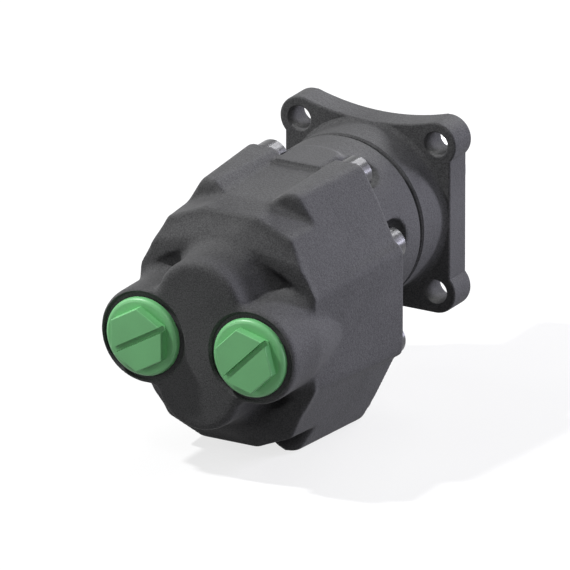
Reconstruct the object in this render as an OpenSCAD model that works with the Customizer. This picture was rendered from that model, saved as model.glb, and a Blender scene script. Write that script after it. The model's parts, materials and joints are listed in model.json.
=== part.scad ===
// Gear pump with a square four-bolt flange, a long neck and two ports in its rear face.
// The drive shaft lies along Y and the pump's mounting face is the plane y = 0. The splined end points to +Y.
// Every distance called "at" counts from the mounting face to the rear, towards -Y. Z is up.

/* [Mounting flange] */
// Distance between neighbouring mounting holes
bolt_span = 80; // [78:0.5:82]
// Diameter of the mounting holes
bolt_hole_d = 13; // [11:0.5:14]
// Thickness of the mounting plate
plate_t = 17; // [14:0.5:20]
// Radius of the plate's corner lobes
lobe_r = 11.5; // [10.5:0.25:12.5]
// Width of the plate between its straight sides
plate_w = 96.6; // [95:0.2:99]
// How far the top edge dips below the lobes
top_dip = 5.5; // [4:0.5:6.5]
// Diameter of the centring spigot
pilot_d = 80; // [78:0.5:82]
// Height of the centring spigot
pilot_h = 7.5; // [7:0.5:9]
// Chamfer on the spigot's edge
pilot_chamfer = 1; // [0.5:0.25:1.5]

/* [Front cover] */
// Distance from the mounting face to the front of the square block
block_at = 82; // [80:0.5:86]
// Thickness of the cover's rear flange
cover_t = 16; // [14:0.5:18]
// Diameter of the hub that carries the screw pockets
hub_d = 90; // [88:0.5:91]
// Diameter of the neck where it meets the plate
neck_d = 91; // [90:0.25:91.5]
// Fillet between neck and plate
neck_fillet = 3; // [2:0.5:4]
// Distance from the mounting face to the turned groove
groove_at = 39.6; // [36:0.5:44]
// Width of the turned groove
groove_w = 2.4; // [1.5:0.1:3.5]
// Depth of the turned groove
groove_depth = 3.7; // [2:0.1:4.5]
// Room between a screw head and the wall of its pocket
pocket_gap = 2; // [1.5:0.25:2.5]
// Length of a screw pocket ahead of the block
pocket_len = 27; // [24:0.5:30]
// Width of the land on top of the hub, between the upper pockets
land_w = 20; // [16:0.5:22]
// Height of the land's top over the hub
land_h = 1.2; // [0.8:0.1:1.6]
// Radius of the oil space in the hub
cavity_r = 26; // [24:0.5:27]
// Thickness of the inner wall that carries the inner shaft seal
wall_t = 24; // [22:0.5:26]

/* [Body] */
// How far the side pads stand out past the port bosses, at the front
pad_over = 0.5; // [0.3:0.1:2]
// Height of the block over its screw ridges
block_h = 139.6; // [137:0.4:142]
// How far each side leans in from front to rear
draft = 6.2; // [5:0.2:7]
// Length of the block from its front to its rear face
block_len = 77; // [75:0.5:80]
// Length of the screw ridges
ridge_len = 53; // [50:0.5:56]
// Half width of the hollow between two ridges
saddle_half = 8.4; // [7:0.2:10]
// Depth of the hollow between two ridges, at the front
saddle_depth = 3.3; // [2.5:0.1:4.5]
// Wall of a ridge beside its screw, at the front
ridge_side = 3.2; // [2.8:0.1:4]
// Rounding of a ridge's outer edge
ridge_round = 4; // [2.5:0.25:5]
// Half height of the side pads
pad_half = 29; // [27:0.5:31]
// How far a side pad stands out
pad_step = 5; // [4:0.25:6]
// Depth of the body's roof below the ridges
roof_drop = 3.8; // [3.4:0.1:6]
// Fall of the roof from the ridges to the rear face
roof_fall = 3.9; // [3:0.1:5]
// Length of the collar behind the rear face
collar_len = 7; // [5:0.5:9]
// Radius of the collar round each gear axis
collar_r = 30; // [28:0.5:31]
// Half width of the collar's rim before it falls to each side
collar_flat = 14; // [10:0.5:18]
// Fall of the collar's rim and of the hollow inside it
collar_tilt = 9.3; // [7:0.1:10]
// Width of the collar's rim
rim_w = 1.3; // [1:0.1:1.8]
// Depth of the hollow inside the rim
hollow_depth = 5.3; // [4:0.1:6]
// Radius of the nose boss round each gear axis
nose_r = 24.5; // [23:0.25:26]
// Rounding of the bosses' rear edges
nose_round = 3; // [2:0.25:4]
// Side position of the edge where the slanting relief starts
relief_x = -1; // [-3:0.25:0]
// Distance of the relief's top below the centre line
relief_top = 12; // [10:0.5:14]
// Height of the relief
relief_h = 21; // [18:0.5:23]
// Slant of the relief
relief_slant = 39; // [34:1:44]

/* [Ports] */
// Distance from the mounting face to the port face
port_at = 191; // [189:0.5:196]
// Distance between the two ports
port_span = 62.4; // [61:0.2:64]
// Length over which a port boss grows out of the side pad
port_taper = 30; // [24:1:34]
// Outer radius of a port boss
port_boss_r = 25.5; // [24.75:0.25:26.5]
// Radius of a port boss where it grows out of the side pad
port_root_r = 21; // [19:0.25:23]
// Diameter of the machined sealing face
spot_d = 47.5; // [46.5:0.25:48.5]
// Depth of the sealing face below the port face
spot_depth = 2; // [1:0.25:3]
// Bore of the port thread
port_d = 30.8; // [29:0.2:31.5]
// Depth of the port thread
port_depth = 18; // [17:0.5:20]
// Bore of the oil passages
passage_d = 16; // [12:0.5:18]
// Distance of an oil passage from the middle of the body
passage_x = 34; // [33:0.5:36]
// Diameter of a plug's flange
cap_d = 41.6; // [40:0.2:43]
// Thickness of a plug's flange
cap_t = 3.7; // [3:0.1:4.5]
// Length of a plug's threaded part
plug_len = 14; // [12:0.5:15]
// Wall of a plug's hollow shank
plug_wall = 3; // [2:0.25:4]
// Hexagon over its corners
hex_d = 34; // [31:0.5:36]
// Height of the hexagon
hex_h = 5; // [4:0.25:7]
// Width of the slot across the hexagon
slot_w = 3; // [2:0.25:4]
// Depth of the slot
slot_depth = 3; // [2:0.25:3.5]
// Direction of the left plug's slot
left_turn = 30; // [0:1:60]
// Direction of the right plug's slot
right_turn = 45; // [0:1:60]
// Width of a plug's sealing ring
ring_w = 2.5; // [2:0.1:3]
// Thickness of a plug's sealing ring
ring_t = 1.5; // [1.2:0.1:1.8]

/* [Gears] */
// Number of teeth on each gear
teeth = 12; // [12:1:13]
// Distance between the two gear axes
gear_span = 42; // [41:0.25:43]
// Pressure angle of the teeth
pressure_angle = 25; // [24:0.5:26]
// Width of the gears
gear_w = 27; // [22:0.5:28]
// Play between the flanks of meshing teeth
backlash = 0.24; // [0.16:0.02:0.4]
// Thickness of a bearing block
carrier_t = 19; // [17:0.25:20]
// Diameter of the gear journals
journal_d = 27; // [24:0.25:27.5]
// Wall of the plain bushes
bush_wall = 2; // [1.5:0.1:2.5]

/* [Shaft] */
// Number of driving splines
splines = 8; // [6:1:8]
// Diameter over the driving splines
spline_d = 36; // [35:0.25:38]
// Diameter between the driving splines
spline_root_d = 32; // [30:0.25:33]
// Width of a driving spline
spline_w = 6; // [5:0.25:7]
// Distance from the mounting face to the tip of the shaft
shaft_out = 54; // [50:0.5:60]
// Length of the driving splines
spline_len = 44; // [40:0.5:45]
// Diameter of the shaft under its outer seal
seal_journal_d = 40; // [39:0.25:41]
// Number of splines on the coupling stub
stub_splines = 6; // [5:1:6]
// Diameter over the coupling stub's splines
stub_d = 25; // [23:0.25:26]
// Depth of the coupling stub's splines
stub_groove = 2; // [1.5:0.1:2.5]
// Width of a coupling spline
stub_w = 5; // [4:0.25:6]
// Length of the coupling stub
stub_len = 22; // [18:0.5:24]

/* [Ball bearing and seals] */
// Bore of the ball bearing
bearing_bore = 35; // [34:0.25:36]
// Outer diameter of the ball bearing
bearing_od = 72; // [71:0.25:73]
// Width of the ball bearing
bearing_w = 17; // [15:0.25:18]
// Diameter of a ball
ball_d = 11.1; // [10:0.1:11.5]
// Number of balls
balls = 9; // [7:1:9]
// Distance from the mounting face to the bearing's front
bearing_at = 8.5; // [8:0.25:10]
// Width of the outer lip seal
outer_seal_w = 8; // [6:0.5:9]
// Room between the outer seal and the bearing's retaining ring
seal_room = 3; // [2:0.25:4]
// Width of the inner lip seal
inner_seal_w = 8; // [6:0.5:9]
// Diameter of the inner lip seal
inner_seal_d = 40; // [38:0.5:42]
// Thickness of the retaining rings
clip_t = 2; // [1.5:0.1:2.2]
// Width of the moulded and ring seals
cord_w = 2; // [1.5:0.1:2.2]
// Depth of the grooves for the moulded and ring seals
cord_depth = 1.7; // [1.4:0.1:2]

/* [Screws and pins] */
// Nominal diameter of the cover screws
screw_d = 12; // [11:0.25:12]
// Diameter of a screw head
head_d = 18; // [17:0.25:18.5]
// Height of a screw head
head_h = 12; // [10:0.5:13]
// Hexagon socket over its corners
socket_d = 11.5; // [9:0.25:12]
// Length of a screw under its head
screw_len = 40; // [36:0.5:44]
// Half distance between the upper screws
upper_x = 24.4; // [24:0.2:25.4]
// Wall of a ridge over its screw
ridge_wall = 3.6; // [3.2:0.1:4.4]
// Wall of a side pad beside its screw
side_wall = 7; // [6.4:0.1:8]
// Height of the side screws over the centre line
side_z = 25.6; // [25:0.2:26.6]
// Diameter of the locating pins
pin_d = 8; // [6:0.25:9]
// Length of the locating pins
pin_len = 18; // [14:0.5:22]
// Half distance between the locating pins
pin_x = 34.5; // [33.5:0.25:35.5]
// Height of the locating pins over the centre line
pin_z = 44; // [43:0.25:45]

/* [Clearances] */
// Radial play of parts that run or slide on each other
run_gap = 0.05; // [0.03:0.01:0.08]
// Radial play of the gears in their chamber
tip_gap = 0.1; // [0.05:0.01:0.1]
// End play of the gears between the bearing blocks
end_gap = 0.1; // [0.05:0.01:0.2]
// Gap behind each bearing block, which its moulded seal fills
seal_gap = 0.3; // [0.2:0.05:0.4]
// Radial room round a screw in a clearance hole
screw_gap = 0.6; // [0.4:0.05:0.8]

/* [Hidden] */
$fn = 96;
iron = [0.27, 0.27, 0.28];
steel = [0.72, 0.73, 0.75];
green = [0.38, 0.72, 0.42];
eps = 0.01;
over = 1;
lap = 3;

// Places along the shaft
joint_at = block_at + cover_t;
rear_at = block_at + block_len;
ridge_end = block_at + ridge_len;
step_len = 0.6;
collar_at = rear_at + collar_len;
front_carrier_at = joint_at + seal_gap;
gear_at = front_carrier_at + carrier_t + end_gap;
rear_carrier_at = gear_at + gear_w + end_gap;
chamber_end = rear_carrier_at + carrier_t + seal_gap;
spot_at = port_at - spot_depth;
port_end = spot_at - port_depth;
wall_at = joint_at - wall_t;
bearing_end = bearing_at + bearing_w;
bearing_mid = bearing_at + bearing_w / 2;
clip_gap = 0.05;
clip_groove = 1.5;
clip_lip = 2.5;

// Sizes of the block and places of its screws
block_w = port_span + 2 * port_boss_r + 2 * pad_over;
roof_h = block_h / 2 - roof_drop;
ridge_half = upper_x + screw_d / 2 + ridge_side;
upper_z = block_h / 2 - ridge_wall - screw_d / 2;
side_x = block_w / 2 - side_wall - screw_d / 2;

// Radii
mid_z = -gear_span / 2;
pitch_r = gear_span / 2;
tooth_size = gear_span / teeth;
tip_r = pitch_r + tooth_size;
root_r = pitch_r - 1.2 * tooth_size;
base_r = pitch_r * cos(pressure_angle);
chamber_r = tip_r + tip_gap;
carrier_r = chamber_r - run_gap;
bush_r = journal_d / 2 + run_gap + bush_wall;
ball_track_r = (bearing_bore + bearing_od) / 4;
ring_wall = (bearing_od - bearing_bore) / 4 - ball_d / 5;
screw_spots = [for (side = [-1, 1]) for (up = [-1, 1])
    each [[side * upper_x, mid_z + up * upper_z], [side * side_x, mid_z + up * side_z]]];
pin_spots = [[-pin_x, mid_z + pin_z], [pin_x, mid_z - pin_z]];

function mix(a, b, t) = a + (b - a) * t;
function unit(v) = v / norm(v);

// Rounded corner at b on the way from a to c
function corner(a, b, c, radius, steps = 4) =
    let (u = unit(a - b), v = unit(c - b), half = acos(u * v) / 2,
         reach = radius / tan(half), centre = b + unit(u + v) * radius / sin(half))
    [for (i = [0:steps]) centre + radius * unit(mix(b + u * reach - centre, b + v * reach - centre, i / steps))];

// The whole outline from its upper right quarter, which runs from the top to the right, counterclockwise
function whole(q) =
    let (n = len(q) - 1)
    concat([for (p = q) [-p.x, p.y]], [for (i = [n:-1:0]) [-q[i].x, -q[i].y]],
           [for (p = q) [p.x, -p.y]], [for (i = [n:-1:0]) q[i]]);

// Corners of the block's sides at a distance behind the mounting face
function side_share(at) = (at - block_at) / block_len;
function crease(at) = [block_w / 2 - pad_step - draft * side_share(at) * 0.5, pad_half + 2.5 - 3.5 * side_share(at)];
function pad_edge(at) = [block_w / 2 - 0.8 - draft * side_share(at), pad_half - 3.4 * side_share(at)];
function pad_face(at) = [block_w / 2 - draft * side_share(at), pad_half - 2 - 3.4 * side_share(at)];
function ridge_edge(at) = [ridge_half - draft * 1.16 * side_share(at), block_h / 2];
function slope_x(at, z) =
    mix(crease(at).x, ridge_edge(at).x, (z - crease(at).y) / (ridge_edge(at).y - crease(at).y));

// Quarter outline through the ridges: hollow, crest, sloping side, crease, pad
function ridge_quarter(at) =
    let (foot = [saddle_half, block_h / 2 - saddle_depth - 1.3 * side_share(at)],
         crest = [ridge_half / 2 + 0.6 + 5 * side_share(at), block_h / 2 - 2.5 + 2 * side_share(at)])
    concat([foot, crest], corner(crest, ridge_edge(at), crease(at), ridge_round),
           corner(ridge_edge(at), crease(at), pad_edge(at), 2, 2), [pad_edge(at), pad_face(at)]);

// Quarter outline behind the ridges: flat middle of the roof, its sloping sides, crease, pad
function roof_quarter(at) =
    let (t = (at - ridge_end) / (rear_at - ridge_end),
         flat = [mix(saddle_half - 1, saddle_half + 6.7, t), mix(roof_h, roof_h - roof_fall, t)],
         eave_z = roof_h - 11,
         eave = [slope_x(at, eave_z), eave_z])
    concat([flat, mix(flat, eave, 0.5)], corner(flat, eave, crease(at), 3),
           corner(eave, crease(at), pad_edge(at), 2, 2), [pad_edge(at), pad_face(at)]);

// Quarter outline of the collar: an arc round the gear axis, then straight to the side
function collar_quarter() =
    let (last = crease(rear_at), start = [collar_r * sin(28), gear_span / 2 + collar_r * cos(28)])
    concat([for (a = [12, 20]) [collar_r * sin(a), gear_span / 2 + collar_r * cos(a)]],
           [for (i = [0:4]) mix(start, last, i / 6)],
           [for (i = [0:2]) mix(start, last - [0.6, 0.6], (10 + i) / 12)],
           [pad_edge(rear_at) - [1, 1.4], pad_face(rear_at) - [1, 1.4]]);

// Moves to a distance behind the mounting face and turns z to the rear, with y up
module behind(at) {
    translate([0, -at, 0]) rotate([90, 0, 0]) children();
}

// Solid through a list of outlines with equally many points, each given as [place, outline]
module loft(sections) {
    n = len(sections[0][1]);
    last = len(sections) - 1;
    points = [for (s = sections) for (p = s[1]) [p.x, p.y, s[0]]];
    sides = [for (k = [0:last - 1]) for (i = [0:n - 1])
        let (a = k * n + i, b = k * n + (i + 1) % n)
        each [[a + n, b + n, b], [a + n, b, a]]];
    polyhedron(points, concat([[for (i = [0:n - 1]) i]], sides, [[for (i = [n - 1:-1:0]) last * n + i]]));
}

// Tube or ring round the local z axis
module ring(inner_r, outer_r, length) {
    difference() {
        cylinder(r = outer_r, h = length);
        translate([0, 0, -over]) cylinder(r = inner_r, h = length + 2 * over);
    }
}

// Two joined discs round the gear axes
module pair_disc(radius, length) {
    for (z = [0, -gear_span]) translate([0, z, 0]) cylinder(r = radius, h = length);
}

// Band that follows the outline of the two joined discs
module pair_band(inner_r, width, length) {
    difference() {
        pair_disc(inner_r + width, length);
        translate([0, 0, -over]) pair_disc(inner_r, length + 2 * over);
    }
}

// Bar with straight splines
module spline_bar(count, root_d, outer_d, width, length) {
    cylinder(d = root_d, h = length);
    intersection() {
        cylinder(d = outer_d, h = length);
        for (i = [0:count - 1])
            rotate(i * 360 / count) translate([0, -width / 2, 0]) cube([outer_d, width, length]);
    }
}

// What lies between two distances, cut flat at both
module between(from_at, to_at) {
    intersection() {
        children();
        behind(from_at) translate([-block_w, mid_z - block_h, 0])
            cube([2 * block_w, 2 * block_h, to_at - from_at]);
    }
}

// The block between two distances, as the cover's rear flange
module block_slab(from_at, to_at) {
    between(from_at, to_at) behind(0) translate([0, mid_z, 0])
        loft([for (at = [from_at - lap, to_at + lap]) [at, whole(ridge_quarter(at))]]);
}

// Tool that hollows the plate's top edge and whatever stands over it there
module top_hollow(length) {
    lobe_at = bolt_span / 2;
    dip_r = (pow(lobe_at - 2, 2) + pow(top_dip, 2)) / (2 * top_dip);
    translate([0, lobe_at + lobe_r - top_dip + dip_r, -over])
        cylinder(r = dip_r, h = length + 2 * over, $fn = 180);
}

module mounting_plate() {
    lobe_at = bolt_span / 2;
    behind(0) difference() {
        union() {
            for (x = [-lobe_at, lobe_at], z = [-lobe_at, lobe_at])
                translate([x, z, 0]) cylinder(r = lobe_r, h = plate_t);
            translate([-plate_w / 2, -lobe_at, 0]) cube([plate_w, 2 * lobe_at, plate_t]);
            translate([-lobe_at, -lobe_at - lobe_r, 0]) cube([2 * lobe_at, 2 * lobe_at + 2 * lobe_r, plate_t]);
        }
        top_hollow(plate_t);
        for (x = [-lobe_at, lobe_at], z = [-lobe_at, lobe_at])
            translate([x, z, -over]) cylinder(d = bolt_hole_d, h = plate_t + 2 * over);
    }
}

module hub() {
    neck_r = neck_d / 2;
    hub_r = hub_d / 2;
    behind(0) difference() {
        rotate_extrude()
        polygon(concat([[0, plate_t / 2], [neck_r + neck_fillet, plate_t / 2], [neck_r + neck_fillet, plate_t]],
            [for (a = [15:15:75]) [neck_r + neck_fillet * (1 - sin(a)), plate_t + neck_fillet * (1 - cos(a))]],
            [[neck_r, plate_t + neck_fillet], [hub_r, groove_at - groove_w / 2],
             [hub_r - groove_depth, groove_at - groove_w / 2], [hub_r - groove_depth, groove_at + groove_w / 2],
             [hub_r, groove_at + groove_w / 2], [hub_r, joint_at - cover_t / 2], [0, joint_at - cover_t / 2]]));
        top_hollow(plate_t + neck_fillet);
    }
}

// Land on top of the hub that carries the block's upper surface forward
module land() {
    top = hub_d / 2 + land_h;
    inside = hub_d / 2 - 5;
    start = block_at - pocket_len;
    translate([-land_w / 2, 0, 0]) rotate([90, 0, 90])
        linear_extrude(land_w)
            polygon([[-start + 4, inside], [-start + 2, top - 2.5], [-start - 3, top], [-block_at - lap, top],
                     [-block_at - lap, inside]]);
}

// Hub and land, with a ball-nosed pocket for each screw head
module pocketed_hub() {
    pocket_r = head_d / 2 + pocket_gap;
    nose_at = block_at - pocket_len + pocket_r;
    difference() {
        union() {
            hub();
            land();
        }
        for (p = screw_spots) behind(nose_at) translate([p.x, p.y, 0]) {
            sphere(r = pocket_r);
            cylinder(r = pocket_r, h = block_at - nose_at + over);
        }
    }
}

module front_cover() {
    color(iron) difference() {
        union() {
            mounting_plate();
            pocketed_hub();
            block_slab(block_at, joint_at);
            behind(0) mirror([0, 0, 1]) {
                translate([0, 0, -eps]) cylinder(d = pilot_d, h = pilot_h - pilot_chamfer + eps);
                translate([0, 0, pilot_h - pilot_chamfer])
                    cylinder(d1 = pilot_d, d2 = pilot_d - 2 * pilot_chamfer, h = pilot_chamfer);
            }
        }
        behind(0) {
            // Bores for the seal, the ball bearing, the oil space and the inner seal
            translate([0, 0, -pilot_h - over]) cylinder(d = bearing_od, h = bearing_end + pilot_h + over);
            translate([0, 0, bearing_end - over]) cylinder(r = cavity_r, h = wall_at - bearing_end + over);
            translate([0, 0, wall_at - over]) cylinder(d = inner_seal_d, h = inner_seal_w + over);
            cylinder(d = journal_d + 2, h = joint_at + over);
            translate([0, 0, bearing_at - clip_t - 2 * clip_gap])
                cylinder(r = bearing_od / 2 + clip_groove, h = clip_t + 2 * clip_gap);
        }
        for (p = screw_spots) behind(block_at - over) translate([p.x, p.y, 0])
            cylinder(r = screw_d / 2 + screw_gap, h = cover_t + 2 * over);
        for (p = pin_spots) behind(joint_at - pin_len / 2) translate([p.x, p.y, 0])
            cylinder(d = pin_d, h = pin_len);
    }
}

// Boss with a tapered root and a rounded rear edge
module boss(root_r, outer_r, root_at, full_at) {
    rotate_extrude()
        polygon(concat([[0, root_at], [root_r, root_at], [outer_r, full_at]],
            [for (a = [0:15:90]) [outer_r - nose_round * (1 - cos(a)), port_at - nose_round * (1 - sin(a))]],
            [[0, port_at]]));
}

// What lies behind two planes that fall from the middle to each side
module behind_sides(at) {
    for (side = [-1, 1]) behind(at) rotate([0, side * collar_tilt, 0])
        translate([-block_w, mid_z - block_h, 0]) cube([2 * block_w, 2 * block_h, collar_r]);
}

// The block behind the joint, with a falling rim round a hollow at its rear
module block_and_collar() {
    start = joint_at - lap;
    step_at = ridge_end + step_len;
    rim_at = collar_at + collar_flat * tan(collar_tilt);
    difference() {
        between(joint_at, collar_at) behind(0) translate([0, mid_z, 0])
            loft([[start, whole(ridge_quarter(start))], [ridge_end, whole(ridge_quarter(ridge_end))],
                  [step_at, whole(roof_quarter(step_at))], [rear_at, whole(roof_quarter(rear_at))],
                  [collar_at, whole(collar_quarter())], [collar_at + lap, whole(collar_quarter())]]);
        behind_sides(rim_at);
        intersection() {
            behind_sides(rim_at - hollow_depth);
            behind(ridge_end) translate([0, mid_z, 0]) linear_extrude(collar_at - ridge_end + over) difference() {
                offset(delta = -rim_w) polygon(whole(collar_quarter()));
                square([2 * block_w, 2 * pad_edge(collar_at).y], center = true);
            }
        }
    }
}

module body_casting() {
    block_and_collar();
    behind(0) {
        boss(collar_r - 1, nose_r, rear_at, collar_at + 8);
        difference() {
            translate([0, -gear_span, 0]) boss(collar_r - 1, nose_r, rear_at, collar_at + 8);
            // Slanting relief beside the left port
            translate([relief_x, mid_z - relief_top, port_at]) rotate([0, -relief_slant, 0])
                translate([-2 * nose_r, -relief_h, 0]) cube([2 * nose_r, relief_h, 2 * nose_r]);
        }
        for (side = [-1, 1]) translate([side * port_span / 2, mid_z, 0])
            boss(port_root_r, port_boss_r, ridge_end, ridge_end + port_taper);
    }
}

module pump_body() {
    color(iron) difference() {
        body_casting();
        behind(joint_at) {
            translate([0, 0, -over]) pair_disc(chamber_r, chamber_end - joint_at + over);
            translate([0, 0, -over]) pair_band(chamber_r + cord_w, cord_w, cord_depth + over);
            for (p = screw_spots) translate([p.x, p.y, -over])
                cylinder(r = screw_d / 2 + run_gap, h = screw_len - cover_t + 4 + over);
            for (p = pin_spots) translate([p.x, p.y, -over]) cylinder(d = pin_d, h = pin_len / 2 + over);
        }
        for (side = [-1, 1]) {
            behind(0) translate([side * port_span / 2, mid_z, 0]) {
                translate([0, 0, spot_at]) cylinder(d = spot_d, h = spot_depth + over);
                translate([0, 0, port_end]) cylinder(d = port_d, h = port_depth + over);
            }
            passage_to = gear_at + gear_w / 2 - passage_d / 2;
            behind(passage_to) translate([side * passage_x, mid_z, 0])
                cylinder(d = passage_d, h = port_end - passage_to + over);
            behind(gear_at + gear_w / 2) translate([0, mid_z, 0]) rotate([0, side * 90, 0])
                cylinder(d = passage_d, h = passage_x);
        }
    }
}

module input_shaft() {
    collar_w = 1.5;
    rear = wall_at - 2;
    socket_at = wall_at - stub_len - 1;
    color(steel) difference() {
        union() {
            behind(-shaft_out) spline_bar(splines, spline_root_d, spline_d, spline_w, spline_len);
            behind(spline_len - shaft_out) cylinder(d = spline_root_d, h = shaft_out - spline_len);
            behind(-pilot_h) cylinder(d = seal_journal_d, h = bearing_at - collar_w + pilot_h);
            behind(bearing_at - collar_w - eps) cylinder(d = seal_journal_d + 2, h = collar_w + eps);
            behind(bearing_at - eps) cylinder(d = bearing_bore, h = rear - bearing_at + eps);
        }
        behind(bearing_end) ring(bearing_bore / 2 - clip_groove, bearing_bore, clip_t + 2 * clip_gap);
        behind(socket_at)
            spline_bar(stub_splines, stub_d - 2 * stub_groove + 2 * run_gap, stub_d + 2 * run_gap,
                stub_w + 2 * run_gap, rear - socket_at + over);
    }
}

// Roll angle of the involute at a radius, and the polar angle that it has swept there, in degrees
function roll(r) = sqrt(max(pow(r / base_r, 2) - 1, 0));
function swept(r) = roll(r) * 180 / PI - atan(roll(r));

// Half the angle of a tooth at a radius
function half_tooth(r) =
    90 / teeth - backlash / 4 / pitch_r * 180 / PI + swept(pitch_r) - swept(max(r, base_r));

// Outline of a gear with its first tooth centred on the angle "turn"
function gear_outline(turn) =
    let (flank = [for (i = [0:6]) mix(base_r, tip_r, i / 6)])
    [for (k = [0:teeth - 1])
        let (mid = turn + k * 360 / teeth,
             rise = concat([[root_r, -half_tooth(base_r) - 3]], [for (r = flank) [r, -half_tooth(r)]]),
             fall = [for (i = [len(rise) - 1:-1:0]) [rise[i].x, -rise[i].y]])
        for (p = concat(rise, fall)) p.x * [cos(mid + p.y), sin(mid + p.y)]];

module gear_with_journals(turn) {
    behind(gear_at) linear_extrude(gear_w) polygon(gear_outline(turn));
    behind(front_carrier_at + end_gap) cylinder(d = journal_d, h = gear_at - front_carrier_at);
    behind(gear_at + gear_w - eps) cylinder(d = journal_d, h = carrier_t - end_gap);
}

module drive_gear() {
    color(steel) {
        gear_with_journals(-90);
        behind(wall_at - 1) cylinder(d = journal_d, h = front_carrier_at - wall_at + lap);
        behind(wall_at - stub_len)
            spline_bar(stub_splines, stub_d - 2 * stub_groove, stub_d, stub_w, stub_len);
    }
}

module driven_gear() {
    color(steel) translate([0, 0, -gear_span]) gear_with_journals(90 + 180 / teeth);
}

// Section of the bearing's ring between two radii, with the groove that the balls run in
module bearing_ring(inner_r, outer_r) {
    difference() {
        behind(bearing_at) ring(inner_r, outer_r, bearing_w);
        behind(bearing_mid) rotate_extrude() translate([ball_track_r, 0]) circle(r = ball_d / 2 + run_gap);
    }
}

module bearing_outer_ring() {
    color(steel) bearing_ring(bearing_od / 2 - ring_wall, bearing_od / 2);
}

module bearing_inner_ring() {
    color(steel) bearing_ring(bearing_bore / 2, bearing_bore / 2 + ring_wall);
}

module ball_circle(diameter) {
    behind(bearing_mid) for (i = [0:balls - 1])
        rotate(i * 360 / balls) translate([ball_track_r, 0, 0]) sphere(d = diameter, $fn = 48);
}

module bearing_balls() {
    color("silver") ball_circle(ball_d);
}

module bearing_cage() {
    cage_w = ball_d * 0.8;
    color("goldenrod") difference() {
        behind(bearing_mid - cage_w / 2) ring(ball_track_r - 1, ball_track_r + 1, cage_w);
        ball_circle(ball_d + 2 * run_gap);
    }
}

// Retaining ring with an opening at the bottom
module circlip(inner_r, outer_r) {
    opening = 6;
    difference() {
        ring(inner_r, outer_r, clip_t);
        translate([-opening / 2, -outer_r - over, -over]) cube([opening, outer_r, clip_t + 2 * over]);
    }
}

module bearing_circlip() {
    color("dimgray") behind(bearing_at - clip_t - clip_gap)
        circlip(bearing_od / 2 - clip_lip, bearing_od / 2 + clip_groove - clip_gap);
}

module shaft_circlip() {
    color("dimgray") behind(bearing_end + clip_gap)
        circlip(bearing_bore / 2 - clip_groove + clip_gap, bearing_bore / 2 + clip_lip);
}

module outer_shaft_seal() {
    color("saddlebrown") behind(bearing_at - clip_t - seal_room - outer_seal_w)
        ring(seal_journal_d / 2 + run_gap, bearing_od / 2, outer_seal_w);
}

module inner_shaft_seal() {
    color("saddlebrown") behind(wall_at) ring(journal_d / 2 + run_gap, inner_seal_d / 2, inner_seal_w);
}

module bearing_block(at, seal_side) {
    color("darkkhaki") difference() {
        behind(at) pair_disc(carrier_r, carrier_t);
        behind(at - over) pair_disc(bush_r, carrier_t + 2 * over);
        behind(seal_side) pair_band(bush_r + cord_w, cord_w, cord_depth);
    }
}

module front_bearing_block() {
    bearing_block(front_carrier_at, front_carrier_at);
}

module rear_bearing_block() {
    bearing_block(rear_carrier_at, rear_carrier_at + carrier_t - cord_depth);
}

module bush(at, z) {
    color("peru") behind(at) translate([0, z, 0]) ring(journal_d / 2 + run_gap, bush_r, carrier_t);
}

module drive_front_bush() { bush(front_carrier_at, 0); }
module drive_rear_bush() { bush(rear_carrier_at, 0); }
module driven_front_bush() { bush(front_carrier_at, -gear_span); }
module driven_rear_bush() { bush(rear_carrier_at, -gear_span); }

module front_pressure_seal() {
    color("black") behind(joint_at) pair_band(bush_r + cord_w, cord_w, seal_gap + cord_depth);
}

module rear_pressure_seal() {
    color("black") behind(rear_carrier_at + carrier_t - cord_depth)
        pair_band(bush_r + cord_w, cord_w, seal_gap + cord_depth);
}

module body_seal() {
    color("black") behind(joint_at) pair_band(chamber_r + cord_w, cord_w, cord_depth);
}

module dowel_pins() {
    color(steel) for (p = pin_spots) behind(joint_at - pin_len / 2) translate([p.x, p.y, 0])
        cylinder(d = pin_d, h = pin_len);
}

module cap_screw() {
    edge = 1;
    difference() {
        union() {
            translate([0, 0, -head_h]) cylinder(d1 = head_d - 2 * edge, d2 = head_d, h = edge);
            translate([0, 0, edge - head_h]) cylinder(d = head_d, h = head_h - edge);
            translate([0, 0, -eps]) cylinder(d = screw_d, h = screw_len + eps);
        }
        translate([0, 0, -head_h - over]) cylinder(d = socket_d, h = head_h / 2 + over, $fn = 6);
    }
}

module cover_screws() {
    color(steel) behind(block_at) for (p = screw_spots) translate([p.x, p.y, 0]) cap_screw();
}

// Screwed plug with a flange, a hexagon with a slot, and a hollow shank
module port_cap(turn) {
    flange_r = cap_d / 2;
    flange_gap = ring_t - cord_depth / 2;
    shank_r = port_d / 2 - run_gap;
    rim = 1.2;
    difference() {
        union() {
            translate([0, 0, -plug_len]) cylinder(r = shank_r, h = plug_len + flange_gap + over);
            translate([0, 0, flange_gap]) cylinder(r = flange_r, h = cap_t - rim);
            translate([0, 0, flange_gap + cap_t - rim]) cylinder(r1 = flange_r, r2 = flange_r - rim, h = rim);
            rotate(turn) translate([0, 0, flange_gap]) cylinder(d = hex_d, h = cap_t + hex_h, $fn = 6);
        }
        translate([0, 0, -plug_len - over]) cylinder(r = shank_r - plug_wall, h = plug_len + over);
        translate([0, 0, -over]) ring(shank_r + 0.6, shank_r + 0.7 + ring_w, ring_t + over);
        rotate(turn) translate([-hex_d, -slot_w / 2, flange_gap + cap_t + hex_h - slot_depth])
            cube([2 * hex_d, slot_w, slot_depth + over]);
    }
}

module cap_seal() {
    shank_r = port_d / 2 - run_gap;
    ring(shank_r + 0.65, shank_r + 0.65 + ring_w, ring_t);
}

module at_port(side) {
    behind(spot_at) translate([side * port_span / 2, mid_z, 0]) children();
}

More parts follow.
